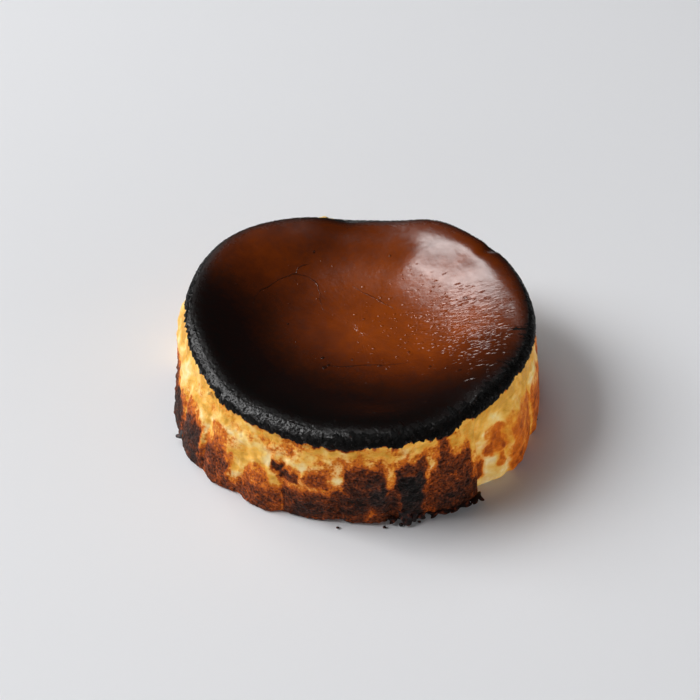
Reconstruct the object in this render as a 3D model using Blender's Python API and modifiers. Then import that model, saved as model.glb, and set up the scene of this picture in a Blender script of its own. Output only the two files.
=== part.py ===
"""A whole burnt cheesecake, baked in a pleated paper collar: one solid, metres, +Z up, front at -Y.

A round blank is turned, then pushed out of round the way the paper pushed the real cake: a rounded-square
outline, a wider foot than top, a sunken top inside a raised rim, paper pleats down the side, a hollow where
the crust tore away, and a few flakes of crust at the foot.
"""

import math

import bmesh
import bpy
import numpy as np
from mathutils import Matrix, Vector

MM = 0.001

# Driving sizes, in millimetres.
FOOT_RADIUS = 78.0
LIP_RADIUS = 72.0
LIP_HEIGHT = 37.5
RIM_HEIGHT = 43.0
DISH_DEPTH = 11.5
DISH_STEEPNESS = 2.0
LIP_OVERHANG = 0.8
CREST_INSET = 4.5
LIP_FACE = 1.0
BELLY = 1.4
FOOT_ROUNDING = 1.2

# Mesh resolution.
TURN_STEPS = 168
SIDE_RINGS = 12
DISH_RINGS = 8
CREST_ARC = (30, 58, 82)
WELD_DISTANCE = 0.02

# Places round the cake are bearings in degrees from the front (-Y), positive towards the right (+X).
# Each pair is a bearing and a radius in millimetres; a smooth closed curve runs through them.
LIP_OUTLINE = (
    (-165, 69.6), (-150, 74.9), (-135, 78.1), (-120, 77.4), (-105, 74.8), (-90, 72.6), (-75, 70.4), (-60, 69.9),
    (-45, 70.9), (-30, 70.3), (-15, 71.0), (0, 71.4), (15, 72.2), (30, 70.6), (45, 68.8), (60, 69.9),
    (75, 70.9), (90, 71.3), (105, 72.2), (120, 74.0), (135, 73.2), (150, 73.2), (165, 67.8), (180, 66.7),
)
FOOT_OUTLINE = (
    (-165, 74.5), (-150, 78.5), (-135, 81.0), (-120, 80.6), (-105, 79.8), (-90, 79.4), (-78, 80.4), (-68, 81.4),
    (-60, 81.2), (-50, 80.7), (-40, 78.6), (-30, 78.0), (-20, 75.8), (-8, 74.8), (4, 75.2), (18, 76.5),
    (30, 78.4), (42, 78.6), (55, 78.2), (70, 77.8), (90, 78.2), (110, 77.8), (130, 77.8), (150, 77.0),
    (165, 73.5), (180, 73.0),
)
CREST_INSETS = ((-120, 2.8), (-70, 4.6), (0, 4.8), (60, 4.4), (110, 2.8), (180, 2.4))
RIM_WAVES = ((3, 0.35, 40.0), (5, 0.3, 110.0), (8, 0.25, 15.0))

# The rim's waves fade out inwards from one share of the lip's radius to the next, and down the side.
WAVE_FADE_IN = (0.6, 0.9)
WAVE_FADE_DOWN = (30.0, 38.0)

# Paper pleats: bearing, depth of the groove, its half width in degrees, and how far the side steps in after it.
PLEATS = (
    (-66.0, 0.9, 1.8, -0.9), (-52.0, 0.8, 1.7, 0.0), (-38.0, 0.9, 2.6, 0.0), (-23.5, 0.6, 1.6, 0.0),
    (-6.5, 1.0, 1.9, 0.0), (9.5, 1.1, 1.8, 0.0), (20.5, 0.9, 1.5, 0.0), (37.5, 0.4, 1.5, 4.4),
    (51.0, 0.8, 2.2, -1.2), (66.5, 0.8, 1.7, -0.5), (84.0, 0.5, 2.6, 0.5), (99.0, 0.9, 2.0, 0.0),
    (112.0, 0.5, 2.4, 0.6), (131.0, 1.0, 1.7, 0.9), (141.0, 0.6, 2.8, -0.7), (163.0, 0.7, 2.0, 0.0),
    (-178.0, 1.0, 1.8, 0.5), (-166.0, 0.4, 2.6, 0.0), (-146.0, 0.9, 2.2, -0.5), (-130.0, 0.5, 1.8, 0.0),
    (-112.0, 0.9, 2.1, 0.0), (-95.0, 0.5, 2.0, 0.5), (-81.0, 0.6, 1.7, -0.5),
)
STEP_RISE = 2.2
STEP_FADE = 14.0
PANEL_CROWN = 0.5
PLEAT_TOP = 1.04
PLEAT_FADE = 0.45

# Hollows and swellings of the side: bearing, height, depth inwards, and the half sizes round and up.
DENTS = (
    (44.0, 9.0, 2.0, 4.2, 7.0),
    (47.5, 23.0, 1.3, 3.6, 5.5),
    (40.5, 18.0, 1.0, 2.5, 5.0),
    (57.0, 20.0, -1.2, 6.0, 9.0),
    (-98.0, 29.0, -2.8, 13.0, 9.0),
    (-58.0, 14.0, -0.9, 5.0, 9.0),
    (-30.0, 22.0, 0.8, 5.0, 7.0),
    (104.0, 16.0, -0.9, 6.0, 9.0),
    (-118.0, 18.0, 0.9, 6.0, 8.0),
    (158.0, 14.0, -0.8, 6.0, 8.0),
)

# Swellings of the sunken top: bearing, distance from the middle, height, and the half sizes round and across.
TOP_SWELLS = (
    (126.0, 64.0, 1.8, 13.0, 7.0),
    (98.0, 66.0, 1.0, 16.0, 6.0),
    (-150.0, 58.0, 0.9, 22.0, 12.0),
    (20.0, 30.0, 0.7, 40.0, 14.0),
    (-70.0, 40.0, -0.8, 30.0, 14.0),
    (170.0, 62.0, -0.9, 12.0, 8.0),
)

# Flakes of loosened crust: bearing, radius and height of the root's middle, length, width, thickness,
# and how far the flake turns down from pointing straight out, in degrees.
FLAKES = (
    ("char_shred", 13.4, 74.0, 5.6, 9.6, 4.6, 1.8, 33.0),
    ("char_shred_side", 16.5, 74.6, 5.0, 5.6, 3.2, 1.5, 38.0),
    ("foot_ledge", 36.0, 77.2, 2.0, 3.8, 4.6, 1.5, 2.0),
    ("flap_corner", -66.5, 79.0, 4.4, 4.8, 4.6, 2.0, 24.0),
)

FLAKE_CUTS = 3
FLAKE_TAPER = 0.62
FLAKE_SWAY = 0.12
FLAKE_WAVE = 5.0
FLAKE_DROOP = 0.1
FLAKE_CLEARANCE = 0.25

EDGE_ROUGHNESS = 0.35
ROUGHNESS_SEED = 7
CRUST_COLOUR = (0.36, 0.13, 0.035, 1.0)
CRUST_ROUGHNESS = 0.5
SHARP_ANGLE = math.radians(40)


def closed_curve(pairs):
    """A function of bearing: a smooth cubic through the (bearing, value) pairs that closes after a turn."""
    ordered = np.array(sorted(pairs), float)
    knots = np.concatenate([ordered[:, 0] - 360, ordered[:, 0], ordered[:, 0] + 360])
    values = np.tile(ordered[:, 1], 3)
    slopes = np.gradient(values, knots)

    def at(bearing):
        b = (np.asarray(bearing, float) + 180) % 360 - 180
        i = np.clip(np.searchsorted(knots, b, side="right") - 1, 0, len(knots) - 2)
        span = knots[i + 1] - knots[i]
        t = (b - knots[i]) / span
        return (
            (2 * t**3 - 3 * t**2 + 1) * values[i]
            + (t**3 - 2 * t**2 + t) * span * slopes[i]
            + (3 * t**2 - 2 * t**3) * values[i + 1]
            + (t**3 - t**2) * span * slopes[i + 1]
        )

    return at


def turned_from(bearing, centre):
    """Degrees from centre to bearing, the short way round, from -180 to 180."""
    return (bearing - centre + 180) % 360 - 180


def smooth_step(x):
    """0 below 0, 1 above 1, and a smooth rise between."""
    x = np.clip(x, 0.0, 1.0)
    return x * x * (3 - 2 * x)


def faded(value, low, high):
    """0 below low, 1 above high, and a smooth rise between."""
    return smooth_step((value - low) / (high - low))


lip_radius = closed_curve(LIP_OUTLINE)
foot_radius = closed_curve(FOOT_OUTLINE)
crest_inset = closed_curve(CREST_INSETS)


def rim_wave(bearing):
    """The rim's slow rise and fall round the cake."""
    return sum(a * np.sin(np.radians(n * bearing + phase)) for n, a, phase in RIM_WAVES)


def edge_noise(bearing):
    """Ragged in and out of the burnt lip, from a seeded row of values round the cake."""
    count = TURN_STEPS // 2
    values = np.random.default_rng(ROUGHNESS_SEED).uniform(-1, 1, count)
    place = (bearing % 360) / 360 * count
    low = np.floor(place).astype(int)
    t = place - low
    return EDGE_ROUGHNESS * ((1 - t) * values[low % count] + t * values[(low + 1) % count])


def side_relief(bearing, height):
    """Radial relief of the side: crowned panels between grooved pleats, steps at the deep folds, and dents."""
    up = height / LIP_HEIGHT
    low_weight = smooth_step((PLEAT_TOP - up) / PLEAT_FADE)
    relief = np.zeros_like(bearing)
    centres = sorted(p[0] for p in PLEATS)
    for left, right in zip(centres, centres[1:] + [centres[0] + 360]):
        share = ((bearing - left) % 360) / (right - left)
        relief += PANEL_CROWN * np.sin(np.pi * np.minimum(share, 1))
    for centre, depth, half_width, step in PLEATS:
        turn = turned_from(bearing, centre)
        relief -= depth * np.exp(-((turn / half_width) ** 2))
        relief -= step * smooth_step(turn / STEP_RISE + 0.5) * smooth_step(1 - turn / STEP_FADE)
    relief *= low_weight
    for centre, middle, depth, half_turn, half_height in DENTS:
        turn = turned_from(bearing, centre)
        relief -= depth * np.exp(-((turn / half_turn) ** 2) - ((height - middle) / half_height) ** 2)
    return relief


def top_relief(bearing, radius):
    """Height added to the sunken top by its slow swellings and hollows."""
    relief = np.zeros_like(bearing)
    for centre, middle, height, half_turn, half_width in TOP_SWELLS:
        turn = turned_from(bearing, centre)
        relief += height * np.exp(-((turn / half_turn) ** 2) - ((radius - middle) / half_width) ** 2)
    return relief


def turned_profile():
    """The blank's section, from the middle of the sunken top outwards and down to the middle of the base."""
    crest = LIP_RADIUS - CREST_INSET
    points = []
    for i in range(DISH_RINGS + 1):
        u = i / DISH_RINGS
        points.append((crest * u, RIM_HEIGHT - DISH_DEPTH * (1 + math.cos(math.pi * u**DISH_STEEPNESS)) / 2))
    drop = RIM_HEIGHT - LIP_HEIGHT - LIP_FACE
    for turn in CREST_ARC:
        a = math.radians(turn)
        points.append((crest + CREST_INSET * math.sin(a), RIM_HEIGHT - drop * (1 - math.cos(a))))
    under_lip = LIP_RADIUS - LIP_OVERHANG
    points.append(((LIP_RADIUS + under_lip) / 2, LIP_HEIGHT))
    points.append((under_lip, LIP_HEIGHT - LIP_OVERHANG / 2))
    side_top = LIP_HEIGHT - 1.5 * LIP_OVERHANG
    for i in range(SIDE_RINGS + 1):
        t = 1 - i / SIDE_RINGS
        radius = FOOT_RADIUS + (under_lip - FOOT_RADIUS) * t
        points.append((radius, FOOT_ROUNDING + (side_top - FOOT_ROUNDING) * t))
    points.append((FOOT_RADIUS - FOOT_ROUNDING, 0.0))
    points.append((FOOT_RADIUS * 0.5, 0.0))
    points.append((0.0, 0.0))
    return points


def push_out_of_round(points):
    """Moves the turned blank's points, an array in millimetres, to the real cake's outline and relief."""
    radius = np.hypot(points[:, 0], points[:, 1])
    bearing = np.degrees(np.arctan2(points[:, 0], -points[:, 1]))
    height = points[:, 2]
    crest = LIP_RADIUS - CREST_INSET
    lip = lip_radius(bearing) + edge_noise(bearing)
    inset = crest_inset(bearing)

    up = np.clip(height / LIP_HEIGHT, 0, 1)
    blank_side = FOOT_RADIUS + (LIP_RADIUS - FOOT_RADIUS) * up
    real_side = foot_radius(bearing) + (lip - foot_radius(bearing)) * up + BELLY * 4 * up * (1 - up)
    side = radius - blank_side + real_side + side_relief(bearing, height)
    base = radius / FOOT_RADIUS * (foot_radius(bearing) + side_relief(bearing, np.zeros_like(height)))
    rim = lip - inset * (LIP_RADIUS - radius) / CREST_INSET
    dish = radius / crest * (lip - inset)

    on_base = height < WELD_DISTANCE
    on_rim = height >= LIP_HEIGHT
    in_dish = (height > LIP_HEIGHT - DISH_DEPTH) & (radius < crest + WELD_DISTANCE)
    moved = np.select([in_dish, on_rim, on_base], [dish, rim, base], side)
    inwards = faded(radius / LIP_RADIUS, *WAVE_FADE_IN)
    downwards = faded(height, *WAVE_FADE_DOWN)
    lift = rim_wave(bearing) * inwards * downwards + np.where(in_dish, top_relief(bearing, radius), 0)
    turn = np.radians(bearing)
    return np.stack([moved * np.sin(turn), -moved * np.cos(turn), height + lift], 1)


def turn_blank(collection):
    """The round blank: the section turned about Z, made a plain mesh."""
    profile = bpy.data.meshes.new("blank_profile")
    points = turned_profile()
    edges = [(i, i + 1) for i in range(len(points) - 1)]
    profile.from_pydata([(r * MM, 0, z * MM) for r, z in points], edges, [])
    blank = bpy.data.objects.new("blank", profile)
    collection.objects.link(blank)
    screw = blank.modifiers.new("turn", "SCREW")
    screw.steps = screw.render_steps = TURN_STEPS
    screw.use_merge_vertices = True
    screw.merge_threshold = WELD_DISTANCE * MM
    screw.use_normal_calculate = True
    return made_plain(blank, "cheesecake", collection)


def made_plain(source, name, collection):
    """A new object with source's evaluated mesh; source is removed."""
    graph = bpy.context.evaluated_depsgraph_get()
    mesh = bpy.data.meshes.new_from_object(source.evaluated_get(graph))
    mesh.name = name
    mesh.transform(source.matrix_world)
    bpy.data.objects.remove(source)
    made = bpy.data.objects.new(name, mesh)
    collection.objects.link(made)
    return made


def close_mesh(mesh):
    """Welds the seam and the poles, splits the faces into triangles, and points them outwards."""
    work = bmesh.new()
    work.from_mesh(mesh)
    bmesh.ops.remove_doubles(work, verts=work.verts, dist=WELD_DISTANCE * MM)
    bmesh.ops.triangulate(work, faces=work.faces)
    bmesh.ops.recalc_face_normals(work, faces=work.faces)
    work.to_mesh(mesh)
    work.free()


def shape_cake(cake):
    """Pushes the blank's points out of round."""
    count = len(cake.data.vertices)
    flat = np.empty(count * 3, np.float32)
    cake.data.vertices.foreach_get("co", flat)
    points = push_out_of_round(flat.reshape(-1, 3).astype(float) / MM) * MM
    cake.data.vertices.foreach_set("co", points.astype(np.float32).ravel())
    cake.data.update()


def make_flake(name, bearing, radius, height, length, width, thickness, down, collection):
    """A tapered, wavy chip of crust whose root is sunk in the cake's side."""
    work = bmesh.new()
    bmesh.ops.create_cube(work, size=1.0)
    bmesh.ops.subdivide_edges(work, edges=work.edges, cuts=FLAKE_CUTS, use_grid_fill=True)
    for vertex in work.verts:
        along = vertex.co.y + 0.5
        sway = FLAKE_SWAY * math.sin(FLAKE_WAVE * along + bearing)
        taper = 1 - FLAKE_TAPER * along
        vertex.co.x = width * (vertex.co.x * taper + sway)
        vertex.co.z = thickness * (vertex.co.z * taper + sway) - FLAKE_DROOP * length * along**2
        vertex.co.y = length * along
    bmesh.ops.triangulate(work, faces=work.faces)
    mesh = bpy.data.meshes.new(name)
    work.to_mesh(mesh)
    work.free()
    turn = math.radians(bearing)
    place = Matrix.Translation(Vector((radius * math.sin(turn), -radius * math.cos(turn), height)))
    aim = Matrix.Rotation(turn + math.pi, 4, "Z") @ Matrix.Rotation(-math.radians(down), 4, "X")
    mesh.transform(place @ aim)
    for vertex in mesh.vertices:
        vertex.co.z = max(vertex.co.z, FLAKE_CLEARANCE)
    mesh.transform(Matrix.Scale(MM, 4))
    flake = bpy.data.objects.new(name, mesh)
    collection.objects.link(flake)
    return flake


def fuse(cake, flakes):
    """One Boolean union joins the flakes to the cake, and is applied; the flakes are then removed."""
    join = cake.modifiers.new("flakes", "BOOLEAN")
    join.operation = "UNION"
    join.operand_type = "COLLECTION"
    join.collection = flakes
    fused = made_plain(cake, "cheesecake", cake.users_collection[0])
    for flake in list(flakes.objects):
        bpy.data.objects.remove(flake)
    bpy.data.collections.remove(flakes)
    return fused


def centre_on_base(cake):
    """Puts the origin at the middle of the footprint's box, on the base."""
    low = Vector(cake.bound_box[0])
    high = Vector(cake.bound_box[6])
    cake.data.transform(Matrix.Translation(-Vector(((low.x + high.x) / 2, (low.y + high.y) / 2, low.z))))


def crust_material():
    """Browned, baked cream cheese: soft brown with a satin skin."""
    material = bpy.data.materials.new("baked_crust")
    material.use_nodes = True
    shader = material.node_tree.nodes["Principled BSDF"]
    shader.inputs["Base Color"].default_value = CRUST_COLOUR
    shader.inputs["Roughness"].default_value = CRUST_ROUGHNESS
    shader.inputs["Metallic"].default_value = 0.0
    return material


def main():
    for old in list(bpy.data.objects):
        bpy.data.objects.remove(old)
    collection = bpy.data.collections.new("burnt_cheesecake")
    bpy.context.scene.collection.children.link(collection)
    flakes = bpy.data.collections.new("flakes")
    bpy.context.scene.collection.children.link(flakes)

    cake = turn_blank(collection)
    close_mesh(cake.data)
    shape_cake(cake)
    for flake in FLAKES:
        make_flake(*flake, flakes)
    cake = fuse(cake, flakes)
    close_mesh(cake.data)
    centre_on_base(cake)
    cake.data.materials.clear()
    cake.data.materials.append(crust_material())
    cake.data.shade_smooth()
    cake.data.set_sharp_from_angle(angle=SHARP_ANGLE)


main()
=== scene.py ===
import math

import bpy
import numpy as np
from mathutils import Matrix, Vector


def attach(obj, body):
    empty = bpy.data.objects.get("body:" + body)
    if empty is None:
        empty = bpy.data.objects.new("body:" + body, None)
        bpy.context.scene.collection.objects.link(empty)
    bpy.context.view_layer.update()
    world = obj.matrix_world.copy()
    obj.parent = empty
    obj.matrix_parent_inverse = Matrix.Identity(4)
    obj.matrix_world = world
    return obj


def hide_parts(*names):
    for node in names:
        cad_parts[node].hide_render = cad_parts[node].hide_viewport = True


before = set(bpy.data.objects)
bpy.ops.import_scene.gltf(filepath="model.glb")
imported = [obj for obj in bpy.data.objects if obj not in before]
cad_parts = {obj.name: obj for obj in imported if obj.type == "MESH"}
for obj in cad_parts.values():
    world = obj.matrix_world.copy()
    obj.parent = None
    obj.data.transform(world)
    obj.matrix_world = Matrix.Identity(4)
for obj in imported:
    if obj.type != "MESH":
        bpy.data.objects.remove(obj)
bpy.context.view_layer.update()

# Baked custard body
# The cake itself: cream cheese custard baked in a tin lined with a pleated paper collar. The folds of the
# paper pressed the wavy outline and the pleats into its side, which browned and charred against the hot tin.

MM = 0.001
TIN_AXIS = (0.635, 3.11)
FOOT_RADIUS = 78.0
LIP_RADIUS = 72.0
LIP_HEIGHT = 37.5
RIM_HEIGHT = 43.0
DISH_DEPTH = 11.5
DISH_STEEPNESS = 2.0
LIP_OVERHANG = 0.8
LIP_FACE = 1.0
BELLY = 1.4
FOOT_ROUNDING = 1.2
SKIN_THICKNESS = 0.6

# Places round the cake are bearings in degrees from the front (-Y), positive towards the right (+X). The
# lip's radii came from another program, as means of rim points read off the photo; some were changed later.
LIP_OUTLINE = (
    (-165, 69.6), (-150, 74.9), (-135, 78.1), (-120, 77.4), (-105, 74.8), (-90, 72.6), (-75, 70.4),
    (-60, 69.9), (-45, 70.9), (-30, 70.3), (-15, 71), (0, 71.4), (15, 72.2), (30, 70.6), (45, 68.8),
    (60, 69.9), (75, 71.4), (90, 72.2), (105, 72.9), (120, 74), (135, 73.2), (150, 73.2), (165, 67.8),
    (180, 66.7),
)
FOOT_OUTLINE = (
    (-165, 74.5), (-150, 78.5), (-135, 81), (-120, 80.6), (-105, 79.8), (-90, 79.4), (-78, 80.4), (-68, 81.4),
    (-60, 81.2), (-50, 80.7), (-40, 78.6), (-30, 78), (-20, 75.8), (-8, 74.8), (4, 75.2), (18, 76.5),
    (30, 78.4), (42, 78.6), (55, 78.2), (70, 77.8), (90, 78.2), (110, 77.8), (130, 77.8), (150, 77),
    (165, 73.5), (180, 73),
)
CREST_INSETS = ((-120, 2.8), (-70, 4.6), (0, 4.8), (60, 4.4), (110, 2.8), (180, 2.4))
RIM_WAVES = ((3, 0.35, 40.0), (5, 0.3, 110.0), (8, 0.25, 15.0))

# Pleats: bearing, depth of the groove, its half width in degrees, and how far the side steps in after it.
PLEATS = (
    (-66, 0.9, 1.8, -0.9), (-52, 0.8, 1.7, 0), (-38, 0.9, 2.6, 0), (-23.5, 0.6, 1.6, 0), (-6.5, 1, 1.9, 0),
    (9.5, 1.1, 1.8, 0), (20.5, 0.9, 1.5, 0), (37.5, 0.4, 1.5, 4.4), (51, 0.8, 2.2, -1.2),
    (66.5, 0.8, 1.7, -0.5), (84, 0.5, 2.6, 0.5), (99, 0.9, 2, 0), (112, 0.5, 2.4, 0.6), (131, 1, 1.7, 0.9),
    (141, 0.6, 2.8, -0.7), (163, 0.7, 2, 0), (-178, 1, 1.8, 0.5), (-166, 0.4, 2.6, 0), (-146, 0.9, 2.2, -0.5),
    (-130, 0.5, 1.8, 0), (-112, 0.9, 2.1, 0), (-95, 0.5, 2, 0.5), (-81, 0.6, 1.7, -0.5),
)
STEP_RISE = 2.2
STEP_FADE = 14.0
PANEL_CROWN = 0.5

# Hollows (and, below zero, swellings) of the side: bearing, height, depth, half sizes round and up.
DENTS = (
    (44, 9, 2, 4.2, 7), (47.5, 23, 1.3, 3.6, 5.5), (40.5, 18, 1, 2.5, 5), (57, 20, -1.2, 6, 9),
    (-98, 29, -2.8, 13, 9), (-58, 14, -0.9, 5, 9), (-30, 22, 0.8, 5, 7), (104, 16, -0.9, 6, 9),
    (-118, 18, 0.9, 6, 8), (158, 14, -0.8, 6, 8),
)

# Pale ribs, where custard ran into a fold of the paper: bearing, height, rise, half sizes round and up.
RIBS = (
    (-53.2, 13, 0.6, 0.6, 9), (-39.2, 24, 0.6, 1.5, 8), (-38.2, 12, 0.5, 0.9, 7), (-6.6, 24.5, 1.3, 1.4, 5),
    (8.8, 30, 0.9, 1, 6.5), (9.4, 18, 0.5, 0.8, 6), (19.9, 28.5, 1.2, 0.7, 4), (36, 24, 0.5, 1.2, 9),
    (51.3, 17, 0.5, 0.7, 8), (66.6, 25, 0.5, 0.6, 5), (98.6, 18, 0.7, 0.8, 8), (131.4, 22, 0.8, 0.9, 6),
    (163, 20, 0.6, 0.8, 8), (-177.6, 22, 0.7, 0.9, 6), (-145.8, 18, 0.6, 0.9, 8), (-111.8, 20, 0.7, 0.8, 7),
)

# Swellings of the sunken top: bearing, distance from the middle, height, half sizes round and across.
TOP_SWELLS = (
    (126, 64, 1.8, 13, 7), (98, 66, 1, 16, 6), (-150, 58, 0.9, 22, 12), (20, 30, 0.7, 40, 14),
    (-70, 40, -0.8, 30, 14), (170, 62, -0.9, 12, 8), (-175, 66, -2.3, 8, 8), (125.5, 72, -1.5, 2.4, 6),
)


def cubic_through(knots, values, at):
    """Values at those places of a smooth curve through the knots: a cubic between each two, whose slope at a
    knot is the slope between its neighbours."""
    slopes = np.gradient(values, knots)
    i = np.clip(np.searchsorted(knots, at, side="right") - 1, 0, len(knots) - 2)
    span = knots[i + 1] - knots[i]
    t = (at - knots[i]) / span
    return (
        (2 * t**3 - 3 * t**2 + 1) * values[i] + (t**3 - 2 * t**2 + t) * span * slopes[i]
        + (3 * t**2 - 2 * t**3) * values[i + 1] + (t**3 - t**2) * span * slopes[i + 1]
    )


def closed_curve(pairs):
    """A function of bearing: a smooth curve through the (bearing, value) pairs that closes after a turn."""
    turns, values = np.array(sorted(pairs), float).T
    knots, values = np.concatenate([turns - 360, turns, turns + 360]), np.tile(values, 3)
    return lambda bearing: cubic_through(knots, values, (np.asarray(bearing, float) + 180) % 360 - 180)


def turned_from(bearing, centre):
    """Degrees from centre to bearing, the short way round."""
    return (bearing - centre + 180) % 360 - 180


def eased(value, low, high):
    """0 up to low, 1 from high on, and a smooth rise between."""
    x = np.clip((value - low) / (high - low), 0.0, 1.0)
    return x * x * (3 - 2 * x)


lip_radius = closed_curve(LIP_OUTLINE)
foot_radius = closed_curve(FOOT_OUTLINE)
crest_inset = closed_curve(CREST_INSETS)

BLOTCH_GRID = 512
LAYER_SHARE = 0.55
LAYER_SHIFT = (37.7, 19.3)
MOTTLING_GAIN = 1.6
GIRTH = 2 * math.pi * FOOT_RADIUS


def blotches(x, y, size, seed, around=None):
    """Soft random blotches from -1 to 1: a seeded value on each crossing of a grid of that size, eased
    between crossings. around is the length after which x repeats, so that it closes round the cake."""
    rng = np.random.default_rng(seed)
    columns = BLOTCH_GRID if around is None else max(3, int(round(around / size)))
    px = x / size if around is None else x / around * columns
    py = y / size
    values = rng.uniform(-1, 1, (columns, BLOTCH_GRID))
    ix, iy = np.floor(px).astype(int), np.floor(py).astype(int)
    fx, fy = px - ix, py - iy
    fx, fy = fx * fx * (3 - 2 * fx), fy * fy * (3 - 2 * fy)
    x0, x1, y0, y1 = ix % columns, (ix + 1) % columns, iy % BLOTCH_GRID, (iy + 1) % BLOTCH_GRID
    low = values[x0, y0] * (1 - fx) + values[x1, y0] * fx
    high = values[x0, y1] * (1 - fx) + values[x1, y1] * fx
    return low * (1 - fy) + high * fy


def mottling(x, y, size, seed, around=None, layers=4):
    """Blotches of size, half size, quarter size and so on, each layer weaker than the one before."""
    total, weight = 0.0, 0.0
    for k in range(layers):
        share = LAYER_SHARE**k
        layer = blotches(x + LAYER_SHIFT[0] * k, y + LAYER_SHIFT[1] * k, size / 2**k, seed + k, around)
        total, weight = total + share * layer, weight + share
    return total / weight * MOTTLING_GAIN


def girth_mm(bearing):
    """Distance round the side, in mm, at that bearing."""
    return np.radians(bearing % 360) * FOOT_RADIUS


def rim_wave(bearing):
    """The rim's slow rise and fall round the cake."""
    return sum(a * np.sin(np.radians(n * bearing + phase)) for n, a, phase in RIM_WAVES)


def bumps(bearing, height, table):
    """Sum of soft bumps from rows of bearing, height, rise and half sizes round (degrees) and up (mm)."""
    total = np.zeros(np.broadcast(bearing, height).shape)
    for centre, middle, rise, half_turn, half_height in table:
        turn = turned_from(bearing, centre)
        total += rise * np.exp(-((turn / half_turn) ** 2) - ((height - middle) / half_height) ** 2)
    return total


def side_relief(bearing, height):
    """Relief of the side in mm: crowned panels between grooved pleats, steps at the deep folds, and dents."""
    relief = np.zeros_like(bearing)
    centres = sorted(p[0] for p in PLEATS)
    for left, right in zip(centres, centres[1:] + [centres[0] + 360]):
        share = ((bearing - left) % 360) / (right - left)
        relief += PANEL_CROWN * np.sin(np.pi * np.minimum(share, 1))
    for centre, depth, half_width, step in PLEATS:
        turn = turned_from(bearing, centre)
        relief -= depth * np.exp(-((turn / half_width) ** 2))
        relief -= step * eased(turn, -STEP_RISE / 2, STEP_RISE / 2) * eased(-turn, -STEP_FADE, 0)
    relief *= eased(-height / LIP_HEIGHT, -1.04, -0.59)
    return relief - bumps(bearing, height, DENTS)


def side_radius(bearing, height):
    """Radius of the side: the straight line from foot to lip, plus the belly and the side's relief."""
    up = np.clip(height / LIP_HEIGHT, 0, 1)
    foot, lip = foot_radius(bearing), lip_radius(bearing) - LIP_OVERHANG
    return foot + (lip - foot) * up + BELLY * 4 * up * (1 - up) + side_relief(bearing, height)


def top_surface(bearing, across):
    """(radius, height) of the top: across 0 to 1 is the sunken dish from its middle to the crest, a raised
    cosine, and 1 to 2 is the rounded rim from the crest out to the lip, a quarter ellipse."""
    lip, inset = lip_radius(bearing), crest_inset(bearing)
    in_dish = np.clip(across, 0, 1)
    down_rim = np.radians(90) * np.clip(across - 1, 0, 1)
    radius = (lip - inset) * in_dish + inset * np.sin(down_rim)
    height = RIM_HEIGHT - DISH_DEPTH * (1 + np.cos(np.pi * in_dish**DISH_STEEPNESS)) / 2
    height -= (RIM_HEIGHT - LIP_HEIGHT - LIP_FACE) * (1 - np.cos(down_rim))
    height += rim_wave(bearing) * eased(radius / LIP_RADIUS, 0.6, 0.9)
    return radius, height + bumps(bearing, radius, TOP_SWELLS) * eased(-across, -1.8, -1.0)


# How far the burnt skin reaches, as a share of the way from the crest down to the bottom of the lip's face.
SKIN_EDGE = (
    (-180, 0.95), (-172, 0.8), (-160, 1), (-140, 0.95), (-120, 0.85), (-105, 0.8), (-90, 0.42), (-75, 0.58),
    (-60, 0.6), (-50, 0.7), (-40, 0.76), (-33, 0.78), (-15, 0.8), (-9, 0.8), (0, 0.83), (5, 0.62), (10, 0.72),
    (15, 0.58), (20, 0.58), (25, 0.8), (28, 0.85), (31, 0.58), (35, 0.56), (38, 0.75), (46, 0.76), (54, 0.66),
    (60, 0.58), (68, 0.56), (76, 0.58), (86, 0.72), (93, 0.85), (99, 0.95), (106, 1), (120, 1), (140, 0.96),
    (160, 1),
)
FACE_SHARE = 0.2
mean_reach = closed_curve(SKIN_EDGE)


def skin_reach(bearing):
    """How far the skin reaches at each bearing, with ragged teeth of three sizes."""
    along = girth_mm(bearing)
    reach = mean_reach(bearing) + 0.05 * mottling(along, 0.0, 7.0, 71, GIRTH)
    reach += 0.08 * blotches(along, 0.0, 1.9, 81, GIRTH) + 0.06 * blotches(along, 0.0, 0.9, 83, GIRTH)
    return np.clip(reach, 0.05, 1.08)


def placed(bearing, radius, height):
    """Points in metres from bearings, radii and heights about the tin's axis."""
    turn = np.radians(bearing)
    x = TIN_AXIS[0] + radius * np.sin(turn)
    y = TIN_AXIS[1] - radius * np.cos(turn)
    return np.stack(np.broadcast_arrays(x, y, height), -1) * MM


def mesh_object(name, points, face_groups):
    """An object from points and arrays of faces, one array for each number of corners."""
    mesh = bpy.data.meshes.new(name)
    sizes = np.concatenate([np.full(len(faces), faces.shape[1]) for faces in face_groups])
    corners = np.concatenate([faces.reshape(-1) for faces in face_groups])
    mesh.vertices.add(len(points))
    mesh.vertices.foreach_set("co", np.asarray(points, np.float32).ravel())
    mesh.loops.add(len(corners))
    mesh.loops.foreach_set("vertex_index", corners.astype(np.int32))
    mesh.polygons.add(len(sizes))
    mesh.polygons.foreach_set("loop_start", (np.cumsum(sizes) - sizes).astype(np.int32))
    mesh.update(calc_edges=True)
    mesh.validate()
    mesh.shade_smooth()
    made = bpy.data.objects.new(name, mesh)
    bpy.context.scene.collection.objects.link(made)
    return made


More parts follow.
